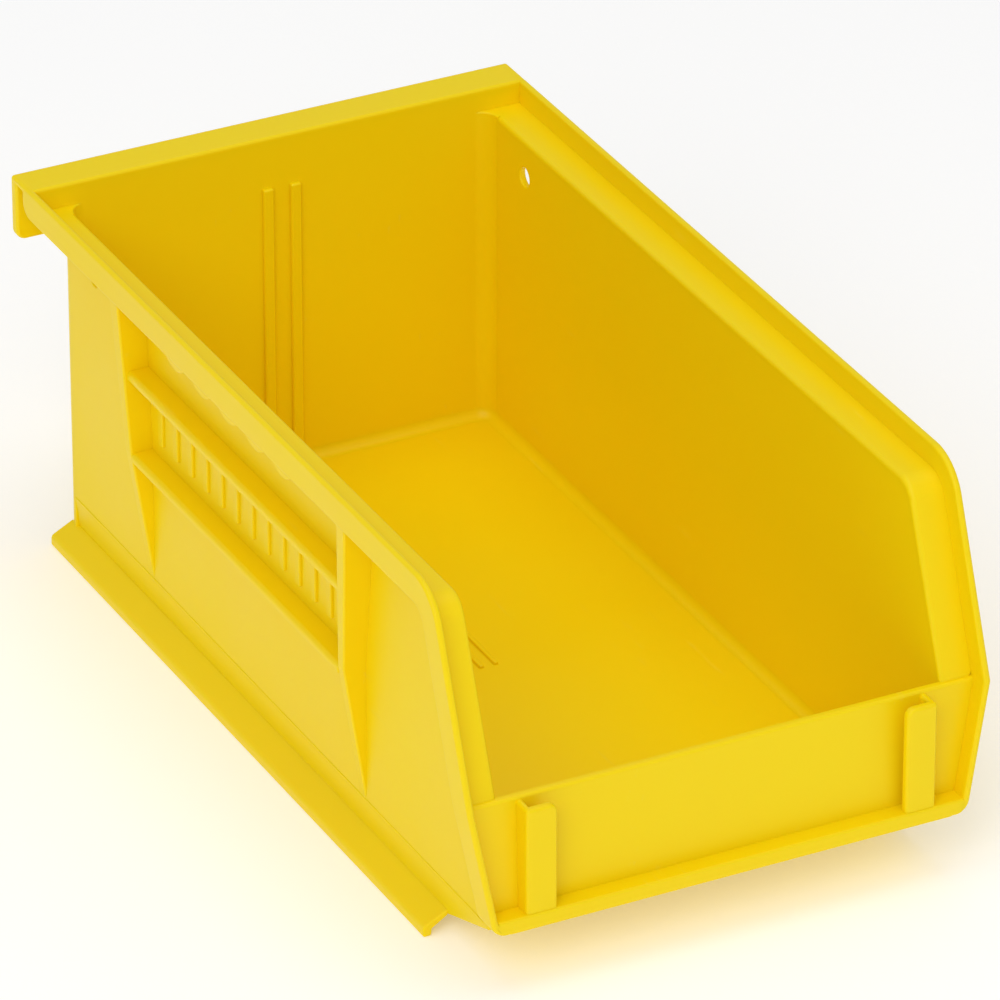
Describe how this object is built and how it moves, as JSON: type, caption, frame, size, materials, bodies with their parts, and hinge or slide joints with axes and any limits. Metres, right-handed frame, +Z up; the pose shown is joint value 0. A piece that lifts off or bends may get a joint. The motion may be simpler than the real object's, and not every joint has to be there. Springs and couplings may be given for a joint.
{
  "type": "hanging parts bin",
  "caption": "Open-fronted plastic storage bin with a hopper front, stacking shoulder, label channels and a rear hang lip.",
  "frame": {"origin": "centre of the footprint on the plane that the rail feet stand on", "axes": "+X to the right seen from the front, +Y from the hopper front to the rear hang lip, +Z up"},
  "size_m": [0.1048, 0.1924, 0.0762],
  "materials": {
    "bin_plastic": "satin injection-moulded polypropylene, yellow throughout"
  },
  "bodies": {
    "root": {"floor_panel": "bin_plastic", "front_ramp": "bin_plastic", "rear_wall": "bin_plastic", "left_side_wall": "bin_plastic", "right_side_wall": "bin_plastic", "front_wall": "bin_plastic", "front_sill": "bin_plastic", "left_label_channel": "bin_plastic", "right_label_channel": "bin_plastic", "hang_lip": "bin_plastic", "left_top_rim": "bin_plastic", "right_top_rim": "bin_plastic", "left_hopper_rim": "bin_plastic", "right_hopper_rim": "bin_plastic", "left_stacking_shoulder": "bin_plastic", "right_stacking_shoulder": "bin_plastic", "left_rear_rib": "bin_plastic", "right_rear_rib": "bin_plastic", "left_front_rib": "bin_plastic", "right_front_rib": "bin_plastic", "left_upper_grip_ledge": "bin_plastic", "right_upper_grip_ledge": "bin_plastic", "left_lower_grip_ledge": "bin_plastic", "right_lower_grip_ledge": "bin_plastic", "left_grip_bars": "bin_plastic", "right_grip_bars": "bin_plastic", "left_finger_scallops": "bin_plastic", "right_finger_scallops": "bin_plastic", "left_stacking_rail": "bin_plastic", "right_stacking_rail": "bin_plastic", "rear_divider_guides": "bin_plastic", "floor_ridges": "bin_plastic"}
  },
  "joints": []
}
